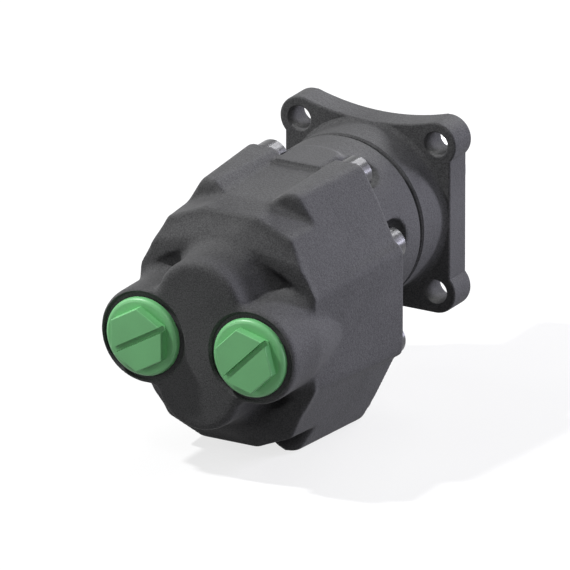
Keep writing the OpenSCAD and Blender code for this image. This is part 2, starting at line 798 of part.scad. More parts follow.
module left_port_cap() { color(green) at_port(-1) port_cap(left_turn); }
module right_port_cap() { color(green) at_port(1) port_cap(right_turn); }
module left_cap_seal() { color("black") at_port(-1) cap_seal(); }
module right_cap_seal() { color("black") at_port(1) cap_seal(); }

front_cover();
pump_body();
input_shaft();
drive_gear();
driven_gear();
bearing_outer_ring();
bearing_inner_ring();
bearing_balls();
bearing_cage();
bearing_circlip();
shaft_circlip();
outer_shaft_seal();
inner_shaft_seal();
front_bearing_block();
rear_bearing_block();
drive_front_bush();
drive_rear_bush();
driven_front_bush();
driven_rear_bush();
front_pressure_seal();
rear_pressure_seal();
body_seal();
dowel_pins();
cover_screws();
left_port_cap();
right_port_cap();
left_cap_seal();
right_cap_seal();
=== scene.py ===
"""Gear pump with a square flange, a cast body and two capped ports, dressed for a studio picture.

Lengths are millimetres until spot() or MM turns them into metres. In (x, at, w) and (x, z) points x counts to the
right, "at" from the mounting face to the rear, z up from the drive shaft and w up from the middle of the body.
"""
import json
import logging
import math
from dataclasses import dataclass, field
from enum import Enum
from typing import Iterable, Sequence, Union

import bmesh
import bpy
from mathutils import Matrix, Vector


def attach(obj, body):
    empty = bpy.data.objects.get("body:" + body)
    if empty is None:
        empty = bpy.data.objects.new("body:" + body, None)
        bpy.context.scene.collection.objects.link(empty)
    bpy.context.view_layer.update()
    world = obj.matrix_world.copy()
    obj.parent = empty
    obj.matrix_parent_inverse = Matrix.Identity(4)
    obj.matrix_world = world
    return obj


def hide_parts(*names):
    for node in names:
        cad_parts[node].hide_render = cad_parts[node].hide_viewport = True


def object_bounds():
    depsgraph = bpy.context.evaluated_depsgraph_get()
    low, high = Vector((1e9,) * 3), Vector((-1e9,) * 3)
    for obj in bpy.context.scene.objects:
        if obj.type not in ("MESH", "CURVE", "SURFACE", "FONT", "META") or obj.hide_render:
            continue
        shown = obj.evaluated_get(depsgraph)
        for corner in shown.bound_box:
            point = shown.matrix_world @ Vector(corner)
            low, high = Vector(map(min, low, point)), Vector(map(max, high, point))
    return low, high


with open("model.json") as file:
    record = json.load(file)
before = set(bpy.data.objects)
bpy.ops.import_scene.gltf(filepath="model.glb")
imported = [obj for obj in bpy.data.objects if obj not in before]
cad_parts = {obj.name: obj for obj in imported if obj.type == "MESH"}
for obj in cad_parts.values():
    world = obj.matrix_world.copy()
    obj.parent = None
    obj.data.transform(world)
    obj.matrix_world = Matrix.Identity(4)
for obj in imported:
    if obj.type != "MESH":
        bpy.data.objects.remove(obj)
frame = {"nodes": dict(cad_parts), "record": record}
CAD_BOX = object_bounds()
LOG = logging.getLogger("gear_pump")
MM = 0.001
SIDES = (-1, 1)
GEAR_SPAN = 42.0
MID_Z = -GEAR_SPAN / 2
PORT_X = 31.2
PORT_AT = 191.0
SPOT_AT = 189.0
JOINT_AT = 98.0
BLOCK_AT = 82.0
PLATE_T = 17.0
BEYOND = 220.0
BOLT_AT = 40.0
WHITE = (1, 1, 1)
BLUISH = (0.88, 0.865, 1)
Number = Union[int, float]
Pair = tuple[Number, Number]
Triple = tuple[Number, Number, Number]


class Slot(Enum):
    """The material slots of the record."""

    IRON = "cast_iron"
    GREEN = "green_plastic"
    STEEL = "hard_steel"
    SCREW = "screw_steel"
    SPRING = "spring_steel"
    BRASS = "brass"
    ALLOY = "aluminium"
    BRONZE = "bronze"
    RUBBER = "seal_rubber"
    LIP = "lip_rubber"


def spot(x: Number, at: Number, z: Number) -> Vector:
    """A point in the frame from millimetres.

    Args:
        x: Place to the side.
        at: Distance behind the mounting face.
        z: Height over the drive shaft's axis.

    Returns:
        The point in metres.
    """
    return Vector((x, -at, z)) * MM


def sin_cos(degrees: Number) -> Pair:
    """Sine and cosine of an angle in degrees.

    Args:
        degrees: The angle.

    Returns:
        Its sine and cosine.
    """
    return math.sin(math.radians(degrees)), math.cos(math.radians(degrees))


def towards(azimuth: float, elevation: float) -> Vector:
    """A direction in the studio.

    Args:
        azimuth: Its angle in degrees, from the rear towards the right.
        elevation: Its height over the horizon in degrees.

    Returns:
        The unit vector from the pump.
    """
    (side, back), (up, level) = sin_cos(azimuth), sin_cos(elevation)
    return Vector((side * level, -back * level, up))


def add_object(name: str, data: bpy.types.ID) -> bpy.types.Object:
    """Links a new object at the origin.

    Args:
        name: Its name.
        data: Its mesh, lamp or camera.

    Returns:
        The object.
    """
    made = bpy.data.objects.new(name, data)
    bpy.context.scene.collection.objects.link(made)
    return made


def discard(piece: bpy.types.Object) -> None:
    """Removes an object together with its mesh.

    Args:
        piece: The object.
    """
    mesh = piece.data
    bpy.data.objects.remove(piece)
    bpy.data.meshes.remove(mesh)


# -------------------- materials


class Tone:
    """A shader value that takes part in Python arithmetic."""

    def __init__(self, shader: "Shader", socket: bpy.types.NodeSocket) -> None:
        """Wraps an output socket of a shader's node tree.

        Args:
            shader: The shader.
            socket: The output socket.
        """
        self.shader = shader
        self.socket = socket

    def _math(self, operation: str, *values: Union["Tone", Number]) -> "Tone":
        """Adds one Math node.

        Args:
            operation: The node's operation.
            values: Its inputs in order.

        Returns:
            The node's result.
        """
        return self.shader.node("ShaderNodeMath", {"operation": operation}, dict(enumerate(values)))

    def __add__(self, other: Union["Tone", Number]) -> "Tone":
        """Sum.

        Args:
            other: Tone or number to add.

        Returns:
            The sum.
        """
        return self._math("ADD", self, other)

    def __mul__(self, other: Union["Tone", Number]) -> "Tone":
        """Product.

        Args:
            other: Tone or number to multiply by.

        Returns:
            The product.
        """
        return self._math("MULTIPLY", self, other)

    def between(self, low: Number, high: Number) -> "Tone":
        """Ramps from 0 at low to 1 at high.

        Args:
            low: Value that gives 0.
            high: Value that gives 1.

        Returns:
            The smooth, clamped ramp.
        """
        settings = {"interpolation_type": "SMOOTHSTEP"}
        return self.shader.node("ShaderNodeMapRange", settings, {"Value": self, "From Min": low, "From Max": high})


class Shader:
    """A principled material under construction."""

    def __init__(self, name: str) -> None:
        """Makes a material with a Principled shader and an output.

        Args:
            name: The material's name.
        """
        self.material = bpy.data.materials.new(name)
        self.material.use_nodes = True
        self.tree = self.material.node_tree
        self.tree.nodes.clear()
        self.principled = self.tree.nodes.new("ShaderNodeBsdfPrincipled")
        output = self.tree.nodes.new("ShaderNodeOutputMaterial")
        self.tree.links.new(self.principled.outputs[0], output.inputs[0])
        self.place = self.node("ShaderNodeTexCoord", {}, {}, "Object")

    def node(self, kind: str, settings: dict, inputs: dict, output: Union[int, str] = 0) -> Tone:
        """Adds any node.

        Args:
            kind: The node's type.
            settings: Its properties, set before its sockets.
            inputs: Values or tones by socket name or number.
            output: The socket to return.

        Returns:
            The chosen output.
        """
        made = self.tree.nodes.new(kind)
        for key, value in settings.items():
            setattr(made, key, value)
        for key, value in inputs.items():
            if isinstance(value, Tone):
                self.tree.links.new(value.socket, made.inputs[key])
            else:
                made.inputs[key].default_value = value
        return Tone(self, made.outputs[output])

    def noise(self, scale: Number, detail: Number = 2, stretch: Sequence[Number] = (1, 1, 1)) -> Tone:
        """Noise on object coordinates.

        Args:
            scale: Lumps per metre.
            detail: Octaves.
            stretch: Scale of each axis.

        Returns:
            The noise, about 0.5 on average.
        """
        where = self.node("ShaderNodeMapping", {}, {"Vector": self.place, "Scale": tuple(stretch)})
        return self.node("ShaderNodeTexNoise", {}, {"Vector": where, "Scale": scale, "Detail": detail})

    def blend(self, share: Tone, low: Sequence[float], high: Sequence[float]) -> Tone:
        """Mixes two colours.

        Args:
            share: 0 for the first colour and 1 for the second.
            low: First colour.
            high: Second colour.

        Returns:
            The mixed colour.
        """
        made = self.tree.nodes.new("ShaderNodeMix")
        made.data_type = "RGBA"
        self.tree.links.new(share.socket, made.inputs[0])
        for name, value in (("A", low), ("B", high)):
            next(s for s in made.inputs if s.name == name and s.type == "RGBA").default_value = (*value, 1)
        return Tone(self, next(s for s in made.outputs if s.type == "RGBA"))

    def bump(self, height: Tone, strength: Number, distance_mm: Number, under: Tone = None) -> Tone:
        """Bends the surface by a height.

        Args:
            height: Relief from 0 to 1.
            strength: Share of the full effect.
            distance_mm: Depth of the relief in millimetres.
            under: A bump that this one adds to.

        Returns:
            The bent normal.
        """
        inputs = {"Height": height, "Strength": strength, "Distance": distance_mm * MM}
        if under is not None:
            inputs["Normal"] = under
        return self.node("ShaderNodeBump", {}, inputs)

    def set(self, **values: Union[Tone, Number, tuple]) -> "Shader":
        """Sets the Principled shader's sockets.

        Args:
            values: Socket names in lower case with underscores, and values or tones.

        Returns:
            This shader.
        """
        sockets = {s.name.lower().replace(" ", "_"): s for s in self.principled.inputs}
        for key, value in values.items():
            if isinstance(value, Tone):
                self.tree.links.new(value.socket, sockets[key])
            else:
                sockets[key].default_value = value
        return self


@dataclass(frozen=True)
class CastIron:
    """Sand-cast iron with a dark coat, and a fine grain over the whole skin."""

    dark: tuple = (0.050, 0.050, 0.0515)
    light: tuple = (0.098, 0.098, 0.100)
    grain_per_m: float = 1450
    grain_mm: float = 0.16
    shine: float = 0.06

    def make(self) -> bpy.types.Material:
        """Builds the material.

        Returns:
            The material.
        """
        s = Shader("cast_iron")
        coarse = s.noise(self.grain_per_m * 0.42, 2)
        fine = s.noise(self.grain_per_m, 3)
        patches = s.noise(28, 3)
        shade = fine * 0.65 + coarse * 0.1 + patches * 0.25
        skin = s.bump(coarse, 0.45, self.grain_mm * 2.2)
        return s.set(base_color=s.blend(shade.between(0.34, 0.64), self.dark, self.light),
                     roughness=fine * 0.16 + patches * 0.12 + 0.46,
                     specular_ior_level=self.shine,
                     normal=s.bump(fine, 0.7, self.grain_mm, skin)).material


@dataclass(frozen=True)
class CutIron:
    """Machined iron, bright, with turning marks round or along Y."""

    colour: tuple = (0.40, 0.40, 0.41)
    pale: tuple = (0.56, 0.56, 0.57)

    def make(self) -> bpy.types.Material:
        """Builds the material.

        Returns:
            The material.
        """
        s = Shader("cut_iron")
        lines = s.noise(420, 2, (1, 0.06, 1))
        rings = s.noise(900, 1, (0.05, 3, 0.05))
        marks = lines * 0.6 + rings * 0.4
        return s.set(base_color=s.blend(marks.between(0.35, 0.65), self.colour, self.pale), metallic=0.55,
                     roughness=marks * 0.2 + 0.3, normal=s.bump(marks, 0.25, 0.03)).material


@dataclass(frozen=True)
class Steel:
    """Ground or plated steel."""

    name: str
    colour: tuple
    roughness: float

    def make(self) -> bpy.types.Material:
        """Builds the material.

        Returns:
            The material.
        """
        s = Shader(self.name)
        rings = s.noise(1400, 2, (0.1, 1, 0.1))
        cloud = s.noise(60, 3)
        low = tuple(c * 0.82 for c in self.colour)
        return s.set(base_color=s.blend((rings * 0.5 + cloud * 0.5).between(0.35, 0.65), low, self.colour),
                     metallic=1.0, roughness=cloud * 0.14 + rings * 0.08 + (self.roughness - 0.1),
                     normal=s.bump(rings, 0.2, 0.012)).material


@dataclass(frozen=True)
class Moulding:
    """Moulded plastic or rubber with a faint skin."""

    name: str
    colour: tuple
    roughness: float
    grain_mm: float = 0.02

    def make(self) -> bpy.types.Material:
        """Builds the material.

        Returns:
            The material.
        """
        s = Shader(self.name)
        skin = s.noise(2200, 2)
        cloud = s.noise(45, 2)
        low = tuple(c * 0.88 for c in self.colour)
        return s.set(base_color=s.blend((skin * 0.3 + cloud * 0.7).between(0.3, 0.7), low, self.colour),
                     roughness=cloud * 0.1 + skin * 0.06 + (self.roughness - 0.08),
                     normal=s.bump(skin, 0.3, self.grain_mm)).material


# -------------------- mesh work


class Form:
    """A mesh under construction from bmesh operators."""

    def __init__(self) -> None:
        """Starts empty."""
        self.bm = bmesh.new()

    def _merge(self, part: bmesh.types.BMesh) -> "Form":
        """Adds a finished closed part, with its faces turned outwards.

        Args:
            part: The part, which is used up.

        Returns:
            This form.
        """
        bmesh.ops.recalc_face_normals(part, faces=part.faces[:])
        mesh = bpy.data.meshes.new("part")
        part.to_mesh(mesh)
        part.free()
        self.bm.from_mesh(mesh)
        bpy.data.meshes.remove(mesh)
        return self

    def rod(self, radius: Number, start: Number, end: Number, x: Number = 0, z: Number = 0,
            sides: int = 96) -> "Form":
        """Adds a cylinder or prism along the shaft.

        Args:
            radius: Its radius.
            start: Distance where it starts.
            end: Distance where it ends.
            x: Place of its axis to the side.
            z: Height of its axis.
            sides: Number of sides.

        Returns:
            This form.
        """
        part = bmesh.new()
        turn = Matrix.Translation(spot(x, (start + end) / 2, z)) @ Matrix.Rotation(math.pi / 2, 4, "X")
        bmesh.ops.create_cone(part, cap_ends=True, segments=sides, radius1=radius * MM, radius2=radius * MM,
                              depth=abs(end - start) * MM, matrix=turn)
        return self._merge(part)

    def lathe(self, profile: Sequence[Pair], x: Number = 0, z: Number = 0,
              steps: int = 96) -> "Form":
        """Adds a solid turned round an axis along the shaft.

        Args:
            profile: (radius, at) points, from axis to axis or closed.
            x: Place of the axis to the side.
            z: Height of the axis.
            steps: Number of steps of the turn.

        Returns:
            This form.
        """
        part = bmesh.new()
        closed = profile[0][0] > 0
        verts = [part.verts.new(spot(x + r, at, z)) for r, at in profile]
        pairs = list(zip(verts, verts[1:])) + ([(verts[-1], verts[0])] if closed else [])
        edges = [part.edges.new(pair) for pair in pairs]
        bmesh.ops.spin(part, geom=verts + edges, cent=spot(x, 0, z), axis=(0, 1, 0), angle=2 * math.pi,
                       steps=steps, use_merge=True)
        bmesh.ops.remove_doubles(part, verts=part.verts[:], dist=1e-7)
        return self._merge(part)

    def prism(self, outline: Sequence[Pair], start: Number, end: Number) -> "Form":
        """Adds a solid with one outline all along.

        Args:
            outline: (x, z) points.
            start: Distance where it starts.
            end: Distance where it ends.

        Returns:
            This form.
        """
        part = bmesh.new()
        face = part.faces.new([part.verts.new(spot(x, start, z)) for x, z in outline])
        made = bmesh.ops.extrude_face_region(part, geom=[face])["geom"]
        bmesh.ops.translate(part, vec=(0, (start - end) * MM, 0),
                            verts=[v for v in made if isinstance(v, bmesh.types.BMVert)])
        return self._merge(part)

    def hull(self, points: Iterable[Vector]) -> "Form":
        """Adds the smallest convex solid round some points.

        Args:
            points: Points in metres.

        Returns:
            This form.
        """
        part = bmesh.new()
        for point in points:
            part.verts.new(point)
        made = bmesh.ops.convex_hull(part, input=part.verts[:])
        spare = {v for v in made["geom_interior"] + made["geom_unused"] if isinstance(v, bmesh.types.BMVert)}
        bmesh.ops.delete(part, geom=list(spare), context="VERTS")
        return self._merge(part)

    def slab(self, start: Number, end: Number) -> "Form":
        """Adds a box wider and higher than the pump between two distances.

        Args:
            start: Distance where it starts.
            end: Distance where it ends.

        Returns:
            This form.
        """
        return self.hull([spot(x, at, z) for x in (-90, 90) for at in (start, end) for z in (-130, 90)])

    def soften(self, width_mm: Number, sharper_than: Number = 25) -> "Form":
        """Rounds the sharp edges.

        Args:
            width_mm: Width of the rounding.
            sharper_than: Least angle between faces, in degrees.

        Returns:
            This form.
        """
        limit = math.radians(sharper_than)
        edges = [e for e in self.bm.edges if e.is_manifold and e.calc_face_angle(0) > limit]
        bmesh.ops.bevel(self.bm, geom=edges, offset=width_mm * MM, offset_type="OFFSET", affect="EDGES",
                        segments=3, profile=0.5, material=-1, clamp_overlap=True)
        return self

    def turn(self, angle: Number, x: Number, z: Number) -> "Form":
        """Turns the form round an axis along the shaft by an angle in degrees.

        Args:
            angle: The angle.
            x: Place of the axis to the side.
            z: Height of the axis.

        Returns:
            This form.
        """
        bmesh.ops.rotate(self.bm, verts=self.bm.verts[:], cent=spot(x, 0, z),
                         matrix=Matrix.Rotation(-math.radians(angle), 3, "Y"))
        return self

    def piece(self, name: str) -> bpy.types.Object:
        """Turns the form into an object at the origin.

        Args:
            name: The object's name.

        Returns:
            The object.
        """
        mesh = bpy.data.meshes.new(name)
        self.bm.to_mesh(mesh)
        self.bm.free()
        return add_object(name, mesh)


def settle(piece: bpy.types.Object) -> bpy.types.Object:
    """Applies every modifier of a piece.

    Args:
        piece: The object.

    Returns:
        The same object with its final mesh.
    """
    bpy.context.view_layer.update()
    graph = bpy.context.evaluated_depsgraph_get()
    mesh = bpy.data.meshes.new_from_object(piece.evaluated_get(graph))
    old = piece.data
    piece.modifiers.clear()
    piece.data = mesh
    bpy.data.meshes.remove(old)
    return piece


def combine(piece: bpy.types.Object, tools: Iterable[Form], operation: str = "DIFFERENCE") -> bpy.types.Object:
    """Cuts forms out of a piece, or adds or intersects them.

    Args:
        piece: The object.
        tools: Closed forms, used one after the other.
        operation: DIFFERENCE, UNION or INTERSECT.

    Returns:
        The object with its final mesh.
    """
    for number, tool in enumerate(tools):
        cutter = tool.piece(f"tool_{number}")
        change = piece.modifiers.new("change", "BOOLEAN")
        change.operation = operation
        change.object = cutter
        change.solver = "MANIFOLD"
        settle(piece)
        discard(cutter)
    return piece


def remesh(piece: bpy.types.Object, voxel_mm: Number) -> bpy.types.Object:
    """Fuses the closed parts of a piece into one even skin.

    Args:
        piece: The object.
        voxel_mm: Size of the skin's grid.

    Returns:
        The object.
    """
    skin = piece.modifiers.new("skin", "REMESH")
    skin.mode = "VOXEL"
    skin.voxel_size = voxel_mm * MM
    return settle(piece)


def swell(piece: bpy.types.Object, by_mm: float) -> bpy.types.Object:
    """Moves a skin outwards, or inwards by a negative length.

    Args:
        piece: The object.
        by_mm: The length.

    Returns:
        The object.
    """
    push = piece.modifiers.new("push", "DISPLACE")
    push.strength = by_mm * MM
    push.mid_level = 0
    return settle(piece)


def fill_creases(piece: bpy.types.Object, radius_mm: float, voxel_mm: float) -> bpy.types.Object:
    """Fills inner corners with a radius, by swelling a skin and shrinking it back.

    Args:
        piece: The object.
        radius_mm: Radius of the fillets.
        voxel_mm: Size of the skin's grid.

    Returns:
        The object.
    """
    swell(remesh(piece, voxel_mm), radius_mm)
    swell(remesh(piece, voxel_mm), -radius_mm)
    return relax(remesh(piece, voxel_mm), 2)


def gather(piece: bpy.types.Object, others: Iterable[bpy.types.Object]) -> bpy.types.Object:
    """Moves the meshes of other objects into a piece, for the next remesh to fuse.

    Args:
        piece: The object that takes them.
        others: Objects that are used up.

    Returns:
        The piece.
    """
    form = Form()
    form.bm.from_mesh(piece.data)
    for other in others:
        form.bm.from_mesh(other.data)
        discard(other)
    form.bm.to_mesh(piece.data)
    form.bm.free()
    return piece


def relax(piece: bpy.types.Object, rounds: int, group: str = "") -> bpy.types.Object:
    """Rounds a dense skin the way a casting is rounded.

    Args:
        piece: The object.
        rounds: Number of smoothing rounds.
        group: Vertex group that limits it.

    Returns:
        The object.
    """
    smooth = piece.modifiers.new("relax", "SMOOTH")
    smooth.factor = 0.5
    smooth.iterations = rounds
    smooth.vertex_group = group
    return settle(piece)


def finish_piece(piece: bpy.types.Object, body: str, materials: Sequence[bpy.types.Material],
                 nodes: Sequence[str], crease: Number = 35) -> bpy.types.Object:
    """Gives a piece its materials, its shading, its body and the nodes it stands for.

    Args:
        piece: The object.
        body: The CAD body that carries it.
        materials: Materials in the order of the faces' indices.
        nodes: CAD nodes that it replaces.
        crease: Angle in degrees past which an edge looks sharp.

    Returns:
        The object.
    """
    piece.data.materials.clear()
    for material in materials:
        piece.data.materials.append(material)
    piece.data.set_sharp_from_angle(angle=math.radians(crease))
    piece.data.polygons.foreach_set("use_smooth", [True] * len(piece.data.polygons))
    piece.modifiers.new("shading", "WEIGHTED_NORMAL").keep_sharp = True
    settle(piece)
    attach(piece, body)
    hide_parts(*nodes)
    LOG.info("%s: %d faces on %s", piece.name, len(piece.data.polygons), body)
    return piece


# -------------------- castings


@dataclass(frozen=True)
class Facet:
    """A flat face of the block: x_share * x + w_share * w = reach - draft * at."""

    reach: float
    draft: float
    x_share: float
    w_share: float

    def x_at(self, at: Number, w: Number) -> float:
        """Side place of the face at a distance and a height over the middle.

        Args:
            at: Distance to the rear.
            w: Height over the middle.

        Returns:
            The side place.
        """
        return (self.reach - self.draft * at - self.w_share * w) / self.x_share

    def w_at(self, at: Number, x: Number) -> float:
        """Height of the face over the middle at a distance and a side place.

        Args:
            at: Distance to the rear.
            x: Side place.

        Returns:
            The height.
        """
        return (self.reach - self.draft * at - self.x_share * x) / self.w_share


@dataclass
class Casting:
    """The outer skin of cover and body, made as one and parted at their joint."""

    voxel_mm: float = 1.0
    block_voxel_mm: float = 1.1
    root_voxel_mm: float = 1.2
    block_front: float = 80.0
    block_rear: float = 159.0
    block_len: float = 77.0
    slope: Facet = Facet(66.17, 0.068, 0.8975, 0.436)
    eaves: Facet = Facet(69.77, 0.042, 0.386, 0.9216)
    rear_face_at: float = 166.0
    ridge_rear: float = 140.6
    ridge_foot: float = 14.0
    ridge_slant: float = 0.2425
    ridge_end_x: float = 37.5
    pad_lean: float = 6.2
    pad_drop: float = 3.4
    collar_r: float = 30.0
    nose_r: float = 24.5
    port_boss_r: float = 25.5
    boss_start: float = 150.0
    web_end: float = 190.6
    rim_side: tuple = (50.9, 25.6)
    rim_flat: float = 14.0
    rim_tilt: float = 9.3
    rim_w: float = 1.3
    hollow_depth: float = 5.3
    lobe_r: float = 11.5
    top_dip: float = 5.5
    side_at: float = 48.3
    plate_edge: float = 1.2
    hub_r: float = 45.0
    hub_end: float = 90.0
    neck_fillet: float = 3.0
    pocket_r: float = 11.0
    pocket_at: float = 66.0
    blend_start: float = 84.0
    blend_len: float = 22.0
    root_from: float = 147.0
    root_r: float = 3.2
    screw_spots: tuple = ((24.4, 60.2), (44.2, 25.6))

    def screws(self) -> list[Pair]:
        """Finds the eight cover screws.

        Returns:
            Their (x, z) places.
        """
        return [(sx * x, MID_Z + sw * w) for x, w in self.screw_spots for sx in SIDES for sw in SIDES]

    @staticmethod
    def mirrored(points: Iterable[Triple], signs: Iterable[tuple[int, int]]) -> list[Vector]:
        """Mirrors (x, at, w) points, with w counted from the body's middle.

        Args:
            points: Points of one quarter.
            signs: (x, w) signs of the wanted quarters.

        Returns:
            The points in metres.
        """
        return [spot(sx * x, at, MID_Z + sw * w) for sx, sw in signs for x, at, w in points]

    def roof_points(self, at: Number) -> list[Triple]:
        """Quarter section of the block under its ridges.

        Args:
            at: Distance to the rear.

        Returns:
            (x, at, w) points from the top to the crease.
        """
        back = at - BLOCK_AT
        middle = min(65.0 - 0.0169 * back, 64.4 - 0.15 * (at - self.ridge_rear))
        eave_x = self.slope.x_at(at, self.eaves.w_at(at, 38))
        eave_w = self.eaves.w_at(at, eave_x)
        return [(0, at, middle), (max(self.eaves.x_at(at, middle), 4.0), at, middle),
                (self.slope.x_at(at, eave_w), at, eave_w), (52.2 - 0.0403 * back, at, 31.5 - 0.0455 * back)]

    def ridge_points(self) -> list[Triple]:
        """Quarter of one screw ridge, from ahead of the block to its slanting rear end.

        Returns:
            (x, at, w) points.
        """
        points = []
        sections = ((self.block_front, 0.0, 65.0, (17.3, 69.0), (33.7, 69.3)),
                    (self.ridge_rear, self.ridge_slant, 64.2, (20.4, 69.2), (28.6, 69.3)))
        for start, slant, foot_w, crest, outer in sections:
            foot_at, crest_at, outer_at, end_at = [start - slant * (x - self.ridge_foot) for x in
                                                   (self.ridge_foot, crest[0], outer[0], self.ridge_end_x)]
            points += [(self.ridge_foot, foot_at, foot_w), (crest[0], crest_at, crest[1])]
            points += [(outer[0] + x, outer_at, outer[1] - w)
                       for x, w in ((-3.4, 0.1), (-1.2, 0.8), (0.5, 2.6), (1.7, 5.2))]
            points += [(self.slope.x_at(end_at, w), end_at, w) for w in (54, 48)]
            points.append((self.ridge_foot, foot_at, 48))
        return points

    def pad_points(self) -> list[Triple]:
        """Quarter of the side pads.

        Returns:
            (x, at, w) points.
        """
        points = []
        for at in (self.block_front, self.block_rear):
            lean = self.pad_lean * (at - BLOCK_AT) / self.block_len
            drop = self.pad_drop * (at - BLOCK_AT) / self.block_len
            points += [(57.1 - lean, at, 26.6 - drop), (56.1 - lean, at, 29.0 - drop),
                       (50.0 - lean / 2, at, 32.6 - drop), (30, at, 32.6 - drop)]
        return points

    def rim(self, inset: Number) -> list[Pair]:
        """Quarter outline of the collar's rim, from the top to the side.

        Args:
            inset: How far inside the rim it lies.

        Returns:
            (x, w) points.
        """
        r = self.collar_r - inset
        arc = [(r * sin, GEAR_SPAN / 2 + r * cos) for sin, cos in map(sin_cos, (0, 7, 14, 21, 28))]
        return arc + [(self.rim_side[0] - inset, self.rim_side[1] - 1.2 * inset)]

    def behind(self, under_mm: Number, outline: Sequence[Pair]) -> list[Form]:
        """What lies behind two planes that fall from the middle to each side.

        Args:
            under_mm: How far the planes lie under the rim.
            outline: (x, w) points of the right half, which bound it.

        Returns:
            One tool for each side.
        """
        fall = math.tan(math.radians(self.rim_tilt))
        start = self.rear_face_at + self.rim_flat * fall - under_mm
        return [Form().hull([spot(side * x, at, MID_Z + w) for x, w in outline for at in (start - abs(x) * fall, 200)])
                for side in SIDES]

    def block(self) -> bpy.types.Object:
        """The square block with ridges and pads, and with a collar that is hollow inside its rim.

        Returns:
            The skin.
        """
        every = [(sx, sw) for sx in SIDES for sw in SIDES]
        made = Form()
        ats = (self.block_front, 110, self.ridge_rear, self.block_rear)
        for first, last in zip(ats, ats[1:]):
            made.hull(self.mirrored(self.roof_points(first) + self.roof_points(last), every))
        made.hull(self.mirrored(self.pad_points(), every))
        for quarter in every:
            made.hull(self.mirrored(self.ridge_points(), [quarter]))
        collar = [(x, self.rear_face_at, w) for x, w in self.rim(0)]
        made.hull(self.mirrored(self.roof_points(self.block_rear - 2) + [(51.1, 158, 25.2)] + collar, every))
        piece = remesh(made.piece("casting"), self.block_voxel_mm)
        inner = [(x, w) for x, w in self.rim(self.rim_w) if w > self.rim_side[1]]
        upper = [(0, inner[0][1])] + inner[1:] + [(47.6, self.rim_side[1]), (0, self.rim_side[1])]
        tools = self.behind(0, [(-1, 80), (60, 80), (60, -80), (-1, -80)])
        for sign in SIDES:
            tools += self.behind(self.hollow_depth, [(x, sign * w) for x, w in upper])
        return combine(piece, tools)

    def noses(self) -> Form:
        """The two noses over the gear axes and the webs that join them to the port bosses.

        Returns:
            The closed parts.
        """
        made = Form()
        front, off = self.boss_start, GEAR_SPAN / 2
        nose = [(0, front), (29.6, front), (29.0, 158.5), (27.5, 161.5), (26.1, 165), (25.1, 169.5), (self.nose_r, 175)]
        nose += [(self.nose_r, 187.4), (23.9, 189.7), (22.2, PORT_AT), (0, PORT_AT)]
        saddle = [(29.4, front), (29.2, 163.0), (26.6, 167.5), (24.4, 174)]
        turns = [sin_cos(a) for a in range(-40, 41, 8)]
        ends = (front, self.web_end)
        for side in SIDES:
            made.lathe(nose, 0, MID_Z + side * off)
            made.hull([spot(r * sin, at, MID_Z + side * (off + r * cos)) for sin, cos in turns for r, at in saddle]
                      + [spot(0, at, MID_Z + side * off) for at in (front, 174)])
            for sign in SIDES:
                corners = [(off * c, off * s) for c, s in ((0.3, 1.0), (1.0, 0.3), (0.3, 0.3))]
                web = [spot(sign * x, at, MID_Z + side * w) for at in ends for x, w in corners]
                web += [spot(sign * (PORT_X - 2), at, MID_Z + side * 19.0) for at in ends]
                made.hull(web + [spot(sign * 10, at, MID_Z + side * 36.5) for at in ends])
        return made

    def port_bosses(self) -> Form:
        """The two port bosses with their tapered roots.

        Returns:
            The closed parts.
        """
        made = Form()
        port = [(0, 132), (21.2, 132), (22.4, 141), (self.port_boss_r, 164), (self.port_boss_r, 188.6), (25.2, 190.2),
                (24.8, PORT_AT), (0, PORT_AT)]
        for sign in SIDES:
            made.lathe(port, sign * PORT_X, MID_Z)
        return made

    def hub(self) -> bpy.types.Object:
        """Neck and hub with their ball-nosed screw pockets.

        Returns:
            The closed object.
        """
        r, root, end = self.hub_r, self.neck_fillet, self.hub_end
        fillet = [(r + root * (1 - sin), PLATE_T + root * (1 - cos)) for sin, cos in map(sin_cos, range(0, 91, 15))]
        hub = Form().lathe([(0, 8), (r + root, 8)] + fillet + [(r, 38), (r, end), (0, end)], steps=128)
        land = [(wide * cos, at - deep * sin, z) for wide, at, deep, z in ((14, 69, 8, 44.6), (12, 70, 7, 46.2))
                for sin, cos in map(sin_cos, range(0, 181, 15))]
        land += [(x, end, z) for x, z in ((-14, 44.6), (-12, 46.2), (12, 46.2), (14, 44.6))]
        land += [(x, at, 38) for x in (-14, 14) for at in (69, end)]
        hub.hull([spot(*point) for point in land])
        dip_r, centre = self.dip()
        nose = [(self.pocket_r * sin, self.pocket_at - self.pocket_r * cos)
                for sin, cos in map(sin_cos, range(15, 91, 15))]
        pocket = [(0, self.pocket_at - self.pocket_r)] + nose + [(self.pocket_r, 84), (0, 84)]
        return combine(hub.piece("hub_form"), [Form().rod(dip_r, -3, PLATE_T + 5, 0, centre, sides=256)]
                       + [Form().lathe(pocket, x, z, 48) for x, z in self.screws()])

    def dip(self) -> Pair:
        """The hollow in the plate's top edge.

        Returns:
            Its radius and the height of its centre.
        """
        radius = ((BOLT_AT - 2) ** 2 + self.top_dip ** 2) / (2 * self.top_dip)
        return radius, BOLT_AT + self.lobe_r - self.top_dip + radius

